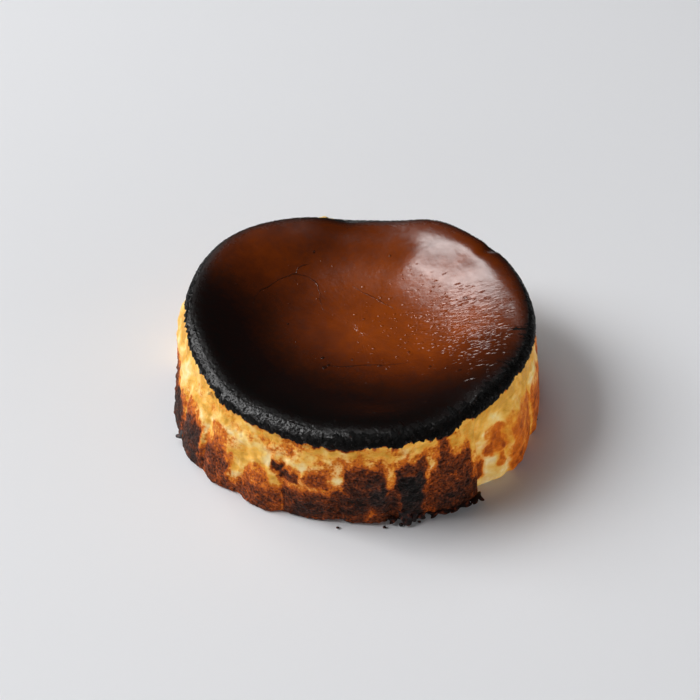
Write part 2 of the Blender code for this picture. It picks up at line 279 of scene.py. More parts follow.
def closed_faces(shells, rows, count):
    """Faces of closed shells whose points are a low pole, rows of count points each, and a high pole: quads
    join each row to the next and close round, and a fan joins each end row to its pole."""
    first = (np.arange(shells) * (rows * count + 2))[:, None, None]
    here = first + 1 + np.arange(rows * count).reshape(rows, count)
    there = np.roll(here, -1, axis=2)
    quads = np.stack([here[:, :-1], there[:, :-1], there[:, 1:], here[:, 1:]], -1).reshape(-1, 4)
    pole = np.broadcast_to(first[:, 0], (shells, count))
    low = np.stack([pole, there[:, 0], here[:, 0]], -1).reshape(-1, 3)
    high = np.stack([pole + rows * count + 1, here[:, -1], there[:, -1]], -1).reshape(-1, 3)
    return [quads, np.vstack([low, high])]


def closed_shell(name, low_pole, rings, high_pole):
    """One closed shell from rings of points, lowest first, that run with the bearing."""
    points = np.vstack([[low_pole], rings.reshape(-1, 3), [high_pole]])
    return mesh_object(name, points, closed_faces(1, *rings.shape[:2]))


def with_poles(rows):
    """Values for every point of a closed shell: the rows' values and, at each pole, the next row's mean."""
    return np.concatenate([[rows[0].mean()], rows.ravel(), [rows[-1].mean()]])


def paint(piece, name, values):
    """Keeps a number for each point of a piece, which its material reads by name."""
    attribute = piece.data.attributes.new(name, "FLOAT", "POINT")
    attribute.data.foreach_set("value", np.broadcast_to(values, len(piece.data.vertices)).astype(np.float32))


# Browned patches of the side: bearings of the left and right edge, heights of the bottom and top edge in mm,
# how brown the patch is from 0, cream, to 1, charred, and how soft its sides and its top are in mm.
BROWNED = (
    (-98, -77, -3, 24, 0.56, 1.5, 4), (-91, -78, -3, 14, 0.62, 3, 5), (-81, -67.5, -3, 20, 0.66, 2.5, 4),
    (-66, -53.8, -3, 23, 0.64, 1, 3), (-64, -57, 17, 26, 0.4, 2.5, 3), (-52.2, -41.5, -3, 20.5, 0.5, 1.2, 4),
    (-49.5, -43.5, 17, 28, 0.4, 1.6, 3.5), (-41, -36.6, -3, 8.5, 0.44, 1.2, 3),
    (-36.6, -23.5, -3, 14.5, 0.48, 1.4, 4), (-35.5, -28, 12, 20, 0.36, 2.5, 3.5),
    (-26.6, -22.4, 21.5, 26.5, 0.64, 1, 1.2), (-24, -17.5, 18, 24.5, 0.54, 1.2, 2),
    (-24, -8.2, -3, 18.5, 0.54, 1.2, 4), (-21, -9.5, -3, 13, 0.68, 2.5, 5),
    (-16.5, -8.5, 18, 26.5, 0.42, 2, 3.5), (-5.2, 8.2, -3, 31, 0.56, 1, 3), (1.2, 8, 9, 29.5, 0.66, 1.2, 2.5),
    (1.8, 8.6, 10, 21.5, 0.76, 1.6, 2.5), (-4.6, 2.5, 5, 22.5, 0.68, 1.2, 3),
    (10.1, 19.2, -3, 33.5, 0.56, 0.9, 3), (11, 18.9, -3, 27, 0.8, 1.2, 2.5),
    (20.3, 23.5, 2, 25.5, 0.5, 0.8, 3), (21.8, 34.6, -3, 29.5, 0.54, 1, 2.2),
    (22.4, 34.2, -3, 19, 0.63, 1.5, 6), (23.2, 27.8, 26, 36, 0.5, 1, 1.6), (24, 35, -3, 6, 0.74, 2, 4),
    (33.5, 38.2, -3, 17, 0.62, 1, 7), (39, 42.8, 4.5, 14, 0.58, 0.9, 1.6), (43.6, 50.2, 13.5, 27, 0.4, 2, 4),
    (47.2, 49.6, 7.5, 14, 0.42, 0.9, 1.2), (51.4, 66.2, -3, 27.5, 0.38, 1, 5), (51.6, 60, -3, 12, 0.48, 4, 6),
    (67.2, 83, -3, 26, 0.42, 1.2, 5), (82, 98, -3, 29, 0.46, 2, 5), (-10, -3.5, -3, 19, 0.62, 1.4, 4),
    (6.6, 11.4, -3, 20.5, 0.64, 1.2, 5), (42.2, 45.6, 13, 21, 0.5, 0.9, 1.5), (-24, 37, -3, 3, 0.62, 2, 2.5),
    (-43, -40, -3, 12, 0.46, 1.2, 4), (8.2, 10.6, 14, 33, 0.26, 1, 4), (-8, -4.6, 26, 33, 0.28, 1, 3),
    (17, 38, -3, 2.4, 0.9, 1.5, 1.5), (18.2, 21.6, -3, 23, 0.5, 0.9, 4), (-38.6, -35.4, -3, 10, 0.5, 1.2, 3),
    (-54.6, -51.6, -3, 13, 0.58, 1.2, 3), (-68.6, -65.4, -3, 14, 0.56, 1.2, 4),
    (34, 37.6, -3, 24, 0.44, 1.2, 5),
)
HALO_TONE = 0.30
HALO_RISE = 4.5
AMBER_TONE = 0.18
PALE_TONE = 0.14
RIB_PALER = 0.30
FRAY_MM = 0.8
LICK_MM = 1.5
LICK_STRETCH = 0.3
RAGGED_MM = 1.3

# Pale places that show through the browning: bearing, height, how much paler, half sizes round and up.
PALE_PLACES = (
    (3.6, 6.8, 0.35, 2, 3.4), (-7, 25, 0.4, 1, 4.5), (44.2, 8.5, 0.6, 2.6, 6.5), (-14, 1.8, 0.3, 2.2, 1.2),
    (58.5, 12, 0.12, 2, 5),
)

# Greyed char, where the browning has lost its red: bearing, height, how grey, half sizes round and up.
GREYED = (
    (-60, 10, 0.75, 6, 16), (15.2, 15, 0.95, 4, 15), (5.2, 15, 0.9, 3.6, 8), (28.5, 17, 0.45, 6, 13),
    (-15, 9, 0.15, 6, 9), (-73, 6, 0.5, 5, 10),
)
HIDDEN_SIDE_SEED = 11
WANDER_DEGREES = 0.75


def wandering(bearing, height):
    """The bearing moved a little to and fro with height, so that no fold runs dead straight."""
    return bearing + WANDER_DEGREES * blotches(girth_mm(bearing), height, 9.0, 17, GIRTH)


def hidden_patches():
    """Browned patches for the back of the side, drawn at random: three for each panel between two pleats."""
    rng = np.random.default_rng(HIDDEN_SIDE_SEED)
    centres = sorted(p[0] % 360 for p in PLEATS if 97 < p[0] % 360 < 258)
    found = []
    for left, right in zip(centres, centres[1:]):
        tone, top = rng.uniform(0.5, 0.82), rng.uniform(13, 29)
        found.append((left + 1.2, right - 0.8, -3, top, tone, rng.uniform(0.9, 1.8), rng.uniform(3.0, 5.0)))
        middle = rng.uniform(left + 4, right - 4)
        found.append((middle - 3.5, middle + 3.5, -3, top * 0.7, min(1.0, tone + 0.16), 1.8, 4.0))
        found.append((middle - 4.5, middle + 2.5, top - 3, top + 6, 0.44, 1.8, 3.5))
    return tuple(found)


def browning_at(bearing, height):
    """How brown the side is, from 0 to 1: the strongest of the patches, whose edges are frayed into upright
    licks by streaky mottling that shifts the place looked up, then a grain that is strongest in the brown."""
    along = girth_mm(bearing)
    bearing = wandering(bearing, height)
    shift_round = FRAY_MM * mottling(along, height, 4.0, 21, GIRTH, 3)
    shift_up = LICK_MM * mottling(along, height * LICK_STRETCH, 2.6, 31, GIRTH, 3)
    shift_up += RAGGED_MM * mottling(along, height, 6.0, 35, GIRTH, 3)
    brown = 0.09 + 0.11 * mottling(along, height, 6.5, 37, GIRTH, 4)
    for left, right, low, high, tone, soft, top_soft in BROWNED + hidden_patches():
        half_mm = np.radians(right - left) / 2 * FOOT_RADIUS
        off_middle = np.radians(turned_from(bearing, (left + right) / 2)) * FOOT_RADIUS + shift_round
        across = eased(-np.abs(off_middle), -half_mm - soft * 0.6, -half_mm + soft)
        rise = height + shift_up + 0.4 * top_soft * (np.abs(off_middle) / half_mm) ** 2
        up = eased(-rise, -high - top_soft * 0.7, -high + top_soft * 1.1)
        up = up * eased(height + 0.5 * shift_up, low - 0.8, low + 1.2)
        brown = np.maximum(brown, tone * across * up)
        halo = eased(-np.abs(off_middle), -half_mm - soft - 1.2, -half_mm + 0.4)
        halo = halo * eased(-rise, -high - HALO_RISE, -high) * eased(height, low - 3.0, low)
        brown = np.maximum(brown, min(tone, HALO_TONE) * halo)
    amber = eased(height, 24, 31) * eased(-np.abs(turned_from(bearing, 4.0)), -50, -30)
    unevenly = 1 + 0.8 * mottling(along * 0.4, height, 3.0, 47, GIRTH * 0.4, 3)
    brown = np.maximum(brown, AMBER_TONE * amber * unevenly)
    paler = np.clip(bumps(bearing, height, PALE_PLACES), 0, 1)
    paler = paler * (1 + 0.35 * mottling(along, height, 2.0, 45, GIRTH, 2))
    paler = np.clip(paler + RIB_PALER * np.clip(bumps(bearing, height, RIBS), 0, 1), 0, 1)
    brown = brown * (1 - paler) + PALE_TONE * paler
    grain = mottling(along, height, 3.2, 41, GIRTH, 3)
    return np.clip(brown + grain * (0.03 + 0.22 * brown * (1.15 - brown)), 0, 1)


RIM_ARC = 7.3
# The dark band under the skin's edge is a singed dark-red line and painted shadow of the overhanging skin.
SINGED_AND_SHADE_TONE = 0.66
SINGED_AND_SHADE_WIDTH = 1.5


def singed_and_shaded_at(bearing, down_rim):
    """Darkness under the skin's edge, that many mm down the rim from the crest: singeing and painted shadow.
    """
    reach = skin_reach(bearing)
    edge = np.minimum(reach / (1 - FACE_SHARE), 1) * RIM_ARC
    edge += np.clip(reach - 1 + FACE_SHARE, 0, None) / FACE_SHARE
    return SINGED_AND_SHADE_TONE * eased(edge - down_rim, -SINGED_AND_SHADE_WIDTH, 0.2)


def crumbly_at(bearing):
    """How crumbly the crust is: rough in front and on the left, where paper tore it, smooth on the right."""
    smooth = eased(-np.abs(turned_from(bearing, 70.0)), -36, -31)
    hidden = eased(np.abs(turned_from(bearing, 0.0)), 100, 112)
    return (1 - 0.88 * smooth) * (1 - 0.4 * hidden)


# RIM_MM is how many mm of pattern one unit of across takes up on the rim.
BODY_TURNS = 1080
SIDE_INSET = 0.25
HIDDEN_GAP = 3.0
RIM_MM = 8
bearings = np.arange(BODY_TURNS) / BODY_TURNS * 360.0
side_heights = np.concatenate([[0.0, 0.2, 0.5, 0.9], np.linspace(1.4, LIP_HEIGHT - 0.3, 63)])
foot_curl = FOOT_ROUNDING * (1 - np.sqrt(1 - np.clip(1 - side_heights / FOOT_ROUNDING, 0, 1) ** 2))
bearing_rows, height_rows = np.meshgrid(bearings, side_heights)
browning_and_shade = browning_at(bearing_rows, height_rows)
along = girth_mm(bearing_rows)
crumbly = crumbly_at(bearing_rows)
roughening = (
    0.40 * mottling(along, height_rows, 8.0, 51, GIRTH, 3)
    + 0.26 * mottling(along, height_rows, 3.2, 53, GIRTH, 2) * (0.4 + 0.6 * crumbly)
    + 0.26 * mottling(along * 0.35, height_rows, 2.2, 57, GIRTH * 0.35, 2) * eased(-browning_and_shade, -0.5, -0.15)
    + 0.26 * mottling(along, height_rows, 1.5, 61, GIRTH, 2) * crumbly * (0.25 + eased(browning_and_shade, 0.2, 0.6))
    - 0.50 * eased(browning_and_shade, 0.35, 0.85)
    + bumps(wandering(bearing_rows, height_rows), height_rows, RIBS)
)
radius_rows = side_radius(bearing_rows, height_rows) - foot_curl[:, None] + roughening - SIDE_INSET
side_rings = placed(bearing_rows, radius_rows, height_rows)
base_rings = [placed(bearings, share * radius_rows[0], 0.0) for share in (0.3, 0.6, 0.85, 0.96)]

shoulder_steps = (1.96, 1.88, 1.78, 1.68, 1.58, 1.46, 1.32, 1.16, 1.0, 0.96, 0.9, 0.8, 0.65, 0.4)
shoulder_bearings, shoulder_across = np.meshgrid(bearings, shoulder_steps)
shoulder_radius, shoulder_height = top_surface(shoulder_bearings, shoulder_across)
shoulder_lean = np.radians(90) * np.clip(shoulder_across - 1, 0, 1)
shoulder_along = girth_mm(shoulder_bearings)
under_skin = SKIN_THICKNESS - 0.25 * mottling(shoulder_along, shoulder_across * RIM_MM, 2.6, 65, GIRTH, 2)
under_skin += HIDDEN_GAP * eased(-shoulder_across, -1.1, -0.9)
shoulder_rings = placed(
    shoulder_bearings, shoulder_radius - under_skin * np.sin(shoulder_lean),
    shoulder_height - under_skin * np.cos(shoulder_lean),
)
low_pole = np.array([*TIN_AXIS, 0.0]) * MM
high_pole = np.array([*TIN_AXIS, RIM_HEIGHT - DISH_DEPTH - SKIN_THICKNESS - HIDDEN_GAP]) * MM
body_rings = np.concatenate([base_rings, side_rings, shoulder_rings])
body = closed_shell("baked_body", low_pole, body_rings, high_pole)


def whole_body(side, base, shoulder):
    """Rows of a painted value for the base, the side and the shoulder together."""
    base_rows = np.full((len(base_rings), BODY_TURNS), base)
    return with_poles(np.concatenate([base_rows, side, np.broadcast_to(shoulder, shoulder_bearings.shape)]))


gold = (
    0.46 + 0.34 * mottling(along, height_rows, 9.0, 111, GIRTH, 2)
    + 0.34 * mottling(along, height_rows, 3.6, 113, GIRTH, 2)
    + 0.22 * mottling(along * 0.4, height_rows, 1.8, 115, GIRTH * 0.4, 2)
    + 0.25 * eased(height_rows, 30, 37)
)
gold -= 0.10 * np.clip(bumps(bearing_rows, height_rows, RIBS), 0, 1)
gold -= 0.50 * np.clip(bumps(bearing_rows, height_rows, PALE_PLACES), 0, 1)
greying = np.clip(bumps(bearing_rows, height_rows, GREYED), 0, 1) * eased(browning_and_shade, 0.5, 0.85)
down_rim = (shoulder_across - 1) * RIM_ARC
shoulder_brown_and_shade = 0.12 + 0.06 * mottling(shoulder_along, down_rim, 4.0, 121, GIRTH, 2)
# The band under the skin's edge, partly painted shadow, darkens the shoulder and the top of the side.
shoulder_brown_and_shade = np.maximum(shoulder_brown_and_shade, singed_and_shaded_at(shoulder_bearings, down_rim))
browning_and_shade = np.maximum(browning_and_shade, singed_and_shaded_at(bearing_rows, RIM_ARC + LIP_HEIGHT - height_rows))
shoulder_gold = 0.62 + 0.3 * mottling(shoulder_along, shoulder_across * RIM_MM, 3.0, 117, GIRTH, 2)
paint(body, "browning_and_shade", whole_body(browning_and_shade, base=0.55, shoulder=shoulder_brown_and_shade))
paint(body, "gold", whole_body(np.clip(gold, 0, 1), base=0.5, shoulder=shoulder_gold))
paint(body, "greying", whole_body(greying, base=0.3, shoulder=0.0))
paint(body, "crumbly", whole_body(crumbly, base=0.6, shoulder=0.3))


def linear(hex_colour, alpha=1.0):
    """An sRGB hex colour as linear red, green and blue, with alpha."""
    parts = [int(hex_colour[i:i + 2], 16) / 255 for i in (1, 3, 5)]
    return (*[c / 12.92 if c <= 0.04045 else ((c + 0.055) / 1.055) ** 2.4 for c in parts], alpha)


def feed(made, inputs):
    """Sets or links a node's inputs, given by name or in order: a value that is a socket is linked."""
    for key, value in inputs.items() if isinstance(inputs, dict) else enumerate(inputs):
        if isinstance(value, bpy.types.NodeSocket):
            made.id_data.links.new(value, made.inputs[key])
        else:
            made.inputs[key].default_value = value


def node(tree, kind, inputs=(), output=0, **settings):
    """Adds a node of that kind with its settings and inputs, and gives one of its outputs. The inputs of a
    map range, in order, are a value, the two ends that it comes from and the two that it goes to."""
    made = tree.nodes.new("ShaderNode" + kind)
    for key, value in settings.items():
        setattr(made, key, value)
    feed(made, inputs)
    return made.outputs[output]


def new_material(name, *attributes):
    """A new material, its node tree, its shader, and the painted values that it reads."""
    made = bpy.data.materials.new(name)
    made.use_nodes = True
    tree = made.node_tree
    painted = [node(tree, "Attribute", output="Fac", attribute_name=attribute) for attribute in attributes]
    return made, tree, tree.nodes["Principled BSDF"], *painted


def colour_stops(ramped, stops):
    """Sets the stops of the colour ramp that this output comes from: (place, hex colour) pairs."""
    ramp = ramped.node.color_ramp
    while len(ramp.elements) > 1:
        ramp.elements.remove(ramp.elements[-1])
    ramp.elements[0].position = stops[0][0]
    ramp.elements[0].color = linear(stops[0][1])
    for place, colour in stops[1:]:
        ramp.elements.new(place).color = linear(colour)


# Baked custard: moist cream cheese curd, so light sinks in a little and it shines softly where it is wet. It
# turns gold, then red-brown, then matt black as it browns, and where it has browned it is crumbly and pitted.
# On top of their bump, the crumbs' middles are painted lighter and the gaps between them and the pits darker:
# painted light and shade.
CURD_GRAIN_MM = 1.6
CRUMB_MM = 1.35
CRUMB_WARP_MM = 0.9
PIT_MM = 0.9
PIT_PAINTED_SHADE = 0.17
FOLD_MM = 1.4
FOLD_STRETCH = 0.16
CRUMB_RELIEF = -1.4
custard, tree, shader, brown, golden, grey, crumbliness = new_material(
    "baked_custard", "browning_and_shade", "gold", "greying", "crumbly")
place = node(tree, "TexCoord", output="Object")
grain = node(tree, "TexNoise", {
    "Vector": place, "Scale": 1 / (CURD_GRAIN_MM * MM), "Detail": 4, "Roughness": 0.6,
})
warp = node(tree, "VectorMath", (
    grain.node.outputs["Color"], (CRUMB_WARP_MM * MM,) * 3, place,
), operation="MULTIPLY_ADD")
crumb_gap = node(tree, "TexVoronoi", {
    "Vector": warp, "Scale": 1 / (CRUMB_MM * MM), "Smoothness": 0.35, "Randomness": 1.0,
}, feature="SMOOTH_F1")
pits = node(tree, "TexNoise", {"Vector": place, "Scale": 1 / (PIT_MM * MM), "Detail": 2, "Roughness": 0.5})
pitted = node(tree, "MapRange", (pits, 0.52, 0.64, 0.0, 1.0), interpolation_type="SMOOTHSTEP")
swing = node(tree, "MapRange", (grain, 0.3, 0.7, -0.06, 0.08))
# Painted light and shade: the crumbs' middles lighter, the gaps between them darker, and the pits darker
# still.
crumb_painted_light_shade = node(tree, "MapRange", (crumb_gap, 0.10, 0.60, -0.04, 0.10))
strength = node(tree, "MapRange", (brown, 0.05, 0.5, 0.15, 1.0))
crumb_share = node(tree, "Math", (strength, crumbliness), operation="MULTIPLY")
crumb_pit_painted_light_shade = node(tree, "Math", (pitted, PIT_PAINTED_SHADE, crumb_painted_light_shade), operation="MULTIPLY_ADD")
painted_crumb_light_shade = node(tree, "Math", (crumb_pit_painted_light_shade, crumb_share), operation="MULTIPLY")
grained = node(tree, "Math", (swing, strength, brown), operation="MULTIPLY_ADD")
mottled = node(tree, "Math", (grained, painted_crumb_light_shade), operation="ADD")
tones = node(tree, "ValToRGB", (mottled,))
colour_stops(tones, [
    (0.10, "#F0B340"), (0.24, "#EA9326"), (0.36, "#CE6716"), (0.50, "#954111"), (0.64, "#5F2B12"),
    (0.78, "#37190D"), (0.92, "#1A0F0A"), (1.00, "#0D0B09"),
])
curd = node(tree, "ValToRGB", (node(tree, "Math", (golden, swing), operation="ADD"),))
colour_stops(curd, [(0.0, "#FADFA4"), (0.35, "#F7CE78"), (0.65, "#F0B54C"), (1.0, "#D59A38")])
browned = node(tree, "MapRange", (mottled, 0.10, 0.30, 0.0, 1.0))
crust = node(tree, "Mix", {0: browned, 6: curd, 7: tones}, 2, data_type="RGBA")
faded = node(tree, "MapRange", (grey, 0.0, 1.0, 1.0, 0.42))
lying = node(tree, "Mapping", {"Vector": place, "Scale": (FOLD_STRETCH, FOLD_STRETCH, 1.0)})
folds = node(tree, "TexNoise", {"Vector": lying, "Scale": 1 / (FOLD_MM * MM), "Detail": 3, "Roughness": 0.55})
lumps = node(tree, "Math", (folds, 0.8, grain), operation="MULTIPLY_ADD")
hollow = node(tree, "Math", (pitted, 0.4, crumb_gap), operation="MULTIPLY_ADD")
crumb_rise = node(tree, "Math", (hollow, crumb_share), operation="MULTIPLY")
relief = node(tree, "Math", (crumb_rise, CRUMB_RELIEF, lumps), operation="MULTIPLY_ADD")
feed(shader, {
    "Base Color": node(tree, "HueSaturation", {"Saturation": faded, "Color": crust}),
    "Roughness": node(tree, "MapRange", (mottled, 0.1, 0.7, 0.42, 0.68)),
    "Normal": node(tree, "Bump", {"Height": relief, "Strength": 1.0, "Distance": 0.6 * MM}),
    "IOR": 1.36, "Specular IOR Level": 0.35,
    "Subsurface Weight": 0.10, "Subsurface Radius": (1.0, 0.5, 0.2), "Subsurface Scale": 1.2 * MM,
})
body.data.materials.append(custard)
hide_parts("cheesecake")
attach(body, "root")

# Burnt skin
# The top of the custard burns to a thin, tight skin: sugar and milk that have caramelised to mahogany in the
# middle and to black at the rim, where it ends ragged over the pale side. It clings to the custard below.

# The last two are how many mm of pattern one unit of across takes up, in the dish and on the rim.
SKIN_TURNS = 780
UNDERSIDE = 2.2
DISH_MM = 66
SKIN_RIM_MM = 9


def skin_points(bearing, across, lift):
    """(radius, height) of the skin for across from 0, the middle, through 1, the crest, to 2, the bottom of
    the lip's face, moved outwards by lift along the way that the surface faces."""
    down = np.clip(across - 1, 0, 1) / (1 - FACE_SHARE)
    radius, height = top_surface(bearing, np.minimum(across, 1) + np.minimum(down, 1))
    face = np.clip(down - 1, 0, None) * (1 - FACE_SHARE) / FACE_SHARE
    lean = np.radians(90) * np.minimum(down, 1)
    return radius + lift * np.sin(lean), height - face * LIP_FACE + lift * np.cos(lean)


# The dish's own slow swells, which shape its highlight: as TOP_SWELLS.
DISH_SWELLS = ((126.0, 40.0, 1.1, 34.0, 13.0), (134.0, 54.0, 0.7, 16.0, 7.0), (112.0, 54.0, 0.6, 14.0, 8.0))


def skin_swell(x, y):
    """How far the skin stands off the plain dish, in mm, at points about the axis: swells and blotches."""
    bearing, radius = np.degrees(np.arctan2(x, -y)), np.hypot(x, y)
    return bumps(bearing, radius, DISH_SWELLS) + 0.05 * mottling(x, y, 10.0, 91, None, 2)


dish_steps = np.concatenate([np.linspace(0.02, 0.34, 18), np.linspace(0.35, 1.0, 80)])
rim_steps = np.linspace(0.0, 1.0, 21)[1:]
skin_bearings = np.arange(SKIN_TURNS) / SKIN_TURNS * 360.0
reach = skin_reach(skin_bearings)
bearing_grid, across_grid = np.meshgrid(skin_bearings, np.concatenate([dish_steps, 1 + rim_steps]))
across_grid = np.minimum(across_grid, 1) + np.clip(across_grid - 1, 0, 1) * reach
flat_radius, _ = skin_points(bearing_grid, across_grid, 0)
flat_x = flat_radius * np.sin(np.radians(bearing_grid))
flat_y = -flat_radius * np.cos(np.radians(bearing_grid))
girth_grid = girth_mm(bearing_grid)
on_rim = eased(across_grid, 1.02, 1.35)
skin_lift = (
    skin_swell(flat_x, flat_y) * (1 - on_rim)
    + 0.016 * mottling(girth_grid * 0.4, across_grid * DISH_MM, 1.1, 93, GIRTH * 0.4, 2) * (1 - on_rim)
    + on_rim * 0.30 * mottling(girth_grid, across_grid * SKIN_RIM_MM, 1.7, 95, GIRTH, 3)
    - on_rim * 0.05
)
skin_radius, skin_height = skin_points(bearing_grid, across_grid, skin_lift)
outer_rings = placed(bearing_grid, skin_radius, skin_height)

# Rings of the underside, from the ragged edge in: how far across, and how deep below the face in mm.
under_steps = [
    (1 + reach * share, depth * 1.5 * SKIN_THICKNESS)
    for share, depth in ((1.0, 0.35), (0.985, 0.9), (0.85, 1.0), (0.6, 1.0), (0.3, 1.0))
]
under_steps += [
    (np.full(SKIN_TURNS, across), depth)
    for across, depth in ((0.98, 1.2), (0.8, UNDERSIDE), (0.5, UNDERSIDE), (0.2, UNDERSIDE))
]
under_rings = [
    placed(skin_bearings, *skin_points(skin_bearings, across, -depth)) for across, depth in under_steps
]
middle_height = float(top_surface(np.zeros(1), np.zeros(1))[1][0])
skin = closed_shell(
    "burnt_skin", np.array([*TIN_AXIS, middle_height - UNDERSIDE]) * MM,
    np.concatenate([outer_rings, under_rings])[::-1], np.array([*TIN_AXIS, middle_height]) * MM,
)

# Amber shows where the skin burnt least, right of the middle. The lobe along the back-left rim is partly less
# burning and partly painted light and sheen, where the inner wall there faces the front.
# Each is a place, half sizes to the left, right, front and back at which it has halved, and its strength.
AMBER_AND_LIGHT_PLACES = ((20.0, 8.0, 47.0, 47.0, 37.0, 62.0, 1.0), (-48.0, 50.0, 26.0, 26.0, 26.0, 26.0, 0.55))
AMBER_FALL = 2.6


def burn_and_light_at(x, y, across):
    """0 in the middle of the amber, rising to 1 with distance from it and on the rim, mottled between."""
    burn_light_and_shade = np.ones_like(x)
    for cx, cy, left, right, front, back, strength in AMBER_AND_LIGHT_PLACES:
        dx = (x - cx) / np.where(x < cx, left, right)
        dy = (y - cy) / np.where(y < cy, front, back)
        burn_light_and_shade *= 1 - strength * 0.5 ** (np.hypot(dx, dy) ** AMBER_FALL)
    amber = 1 - burn_light_and_shade
    amber *= 1 + 0.10 * mottling(x, y, 16.0, 101, None, 3) + 0.05 * mottling(x, y, 4.0, 105, None, 3)
    return np.clip(1 - amber * (1 - eased(across, 0.94, 1.06)), 0, 1)


def whole_skin(outer, under):
    """Rows of a painted value for the outer face and the underside, in the order of the shell's rings."""
    return with_poles(np.concatenate([outer, np.full((len(under_rings), SKIN_TURNS), under)])[::-1])


# Where the skin has crinkled: bearing, distance from the middle, how much, half sizes round and across.
CRINKLED = ((92.0, 47.0, 1.0, 26.0, 15.0), (70.0, 28.0, 0.45, 60.0, 18.0))
crinkled = bumps(bearing_grid, flat_radius, CRINKLED) * eased(-across_grid, -1.0, -0.9)
paint(skin, "burn_light_and_shade", whole_skin(burn_and_light_at(flat_x, flat_y, across_grid), under=0.9))
paint(skin, "char", whole_skin(eased(across_grid, 0.90, 1.12), under=1.0))
paint(skin, "crinkle", whole_skin(np.clip(crinkled, 0, 1), under=0.0))

# Burnt milk sugar: a satin film, almost as glossy as a glaze in the middle, charred to black grit at the rim.
STAIN_MM = 3.0
GRIT_MM = 1.15
CRINKLE_MM = 1.5
CRINKLE_STRETCH = 0.45
CRINKLE_RELIEF = 0.45
skin_finish, tree, shader, skin_burn_light_and_shade, charred, crinkle_share = new_material(
    "burnt_sugar_skin", "burn_light_and_shade", "char", "crinkle")
place = node(tree, "TexCoord", output="Object")
stain = node(tree, "TexNoise", {
    "Vector": place, "Scale": 1 / (STAIN_MM * MM), "Detail": 6, "Roughness": 0.65,
})
stain_swing = node(tree, "MapRange", (stain, 0.3, 0.7, -0.05, 0.05))
tones = node(tree, "ValToRGB", (node(tree, "Math", (skin_burn_light_and_shade, stain_swing), operation="ADD"),))
colour_stops(tones, [
    (0.00, "#8E3E07"), (0.25, "#6E2C03"), (0.50, "#4B1B02"), (0.70, "#2D0F02"), (0.85, "#160603"),
    (1.00, "#060302"),
])
rough_base = node(tree, "MapRange", (charred, 0.0, 1.0, 0.22, 0.46))
grit = node(tree, "TexNoise", {"Vector": place, "Scale": 1 / (GRIT_MM * MM), "Detail": 2, "Roughness": 0.55})
grit_depth = node(tree, "MapRange", (charred, 0.0, 1.0, 0.04, 1.3))
grit_height = node(tree, "Math", (grit, grit_depth), operation="MULTIPLY")
lengthened = node(tree, "Mapping", {"Vector": place, "Scale": (CRINKLE_STRETCH, 1.0, 1.0)})
crinkles = node(tree, "TexNoise", {
    "Vector": lengthened, "Scale": 1 / (CRINKLE_MM * MM), "Detail": 2, "Roughness": 0.5,
})
crinkle_height = node(tree, "Math", (crinkles, crinkle_share), operation="MULTIPLY")
unevenness = node(tree, "Math", (crinkle_height, CRINKLE_RELIEF, grit_height), operation="MULTIPLY_ADD")
feed(shader, {
    "Base Color": tones,
    "Roughness": node(tree, "Math", (stain_swing, 0.8, rough_base), operation="MULTIPLY_ADD"),
    "Normal": node(tree, "Bump", {"Height": unevenness, "Strength": 0.8, "Distance": 0.5 * MM}),
    "IOR": 1.56,
})
skin.data.materials.append(skin_finish)
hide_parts("cheesecake")
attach(skin, "root")

# Blisters
# Steam under the hot skin raised it in small domes, thickest on the right of the dish towards the front. They
# are the skin itself, stretched thin, and stayed up as it set.

# Where they crowd: place in mm about the tin's axis, half sizes across and back, and the share of tries kept.
BLISTER_CROWDS = ((49, -5, 13, 17, 0.72), (24, 8, 18, 19, 0.22))
STRAY_SHARE = 0.003
BLISTER_SEED = 5
BLISTER_TRIES = 16000
BLISTERED_RADIUS = 63
BACK_RIGHT_LIMIT = 60
BACK_RIGHT_SLOPE = 0.8
DOME_RINGS = (1.0, 0.93, 0.82, 0.68, 0.5, 0.3, 0.12)
DOME_ROUND = 10
DOME_SINK = 0.06
DOME_ROOT = 0.4


def dish_height(x, y):
    """Height in mm of the skin over points in mm about the tin's axis, inside the crest."""
    bearing, radius = np.degrees(np.arctan2(x, -y)), np.hypot(x, y)
    across = np.minimum(radius / (lip_radius(bearing) - crest_inset(bearing)), 1.0)
    return top_surface(bearing, across)[1] + skin_swell(x, y)


def about_axis(x, y, height):
    """Points in metres from places in mm about the tin's axis."""
    return np.stack(np.broadcast_arrays(TIN_AXIS[0] + x, TIN_AXIS[1] + y, height), -1) * MM


def joined_shells(low, rings, high):
    """Points of closed shells, each a low pole, its rings and a high pole. The first axis is the shell."""
    return np.concatenate([part.reshape(len(rings), -1, 3) for part in (low, rings, high)], 1)


def shells_object(name, shells, rows, count):
    """An object from the points of many closed shells, each with that many rows of count points."""
    return mesh_object(name, shells.reshape(-1, 3), closed_faces(len(shells), rows, count))


def dome_shells(*ovals):
    """Low closed domes on the skin, from arrays of x, y, half width and height in mm, turn and stretch. Over
    each oval the height falls from the middle as the square of one less the distance squared, with no
    crease where it meets the skin."""
    ring = np.array(DOME_RINGS)[None, :, None]
    turn = (np.arange(DOME_ROUND) / DOME_ROUND * 2 * np.pi)[None, None, :]
    cx, cy, r, h, spin, long = (values[:, None, None] for values in ovals)
    u, v = r * long * ring * np.cos(turn), r * ring * np.sin(turn)
    x, y = cx + u * np.cos(spin) - v * np.sin(spin), cy + u * np.sin(spin) + v * np.cos(spin)
    z = dish_height(x, y) + h * (1 - ring**2) ** 2 - DOME_SINK * (ring == 1.0)
    middle = dish_height(cx, cy)
    low, high = about_axis(cx, cy, middle - DOME_ROOT), about_axis(cx, cy, middle + h)
    return joined_shells(low, about_axis(x, y, z), high)


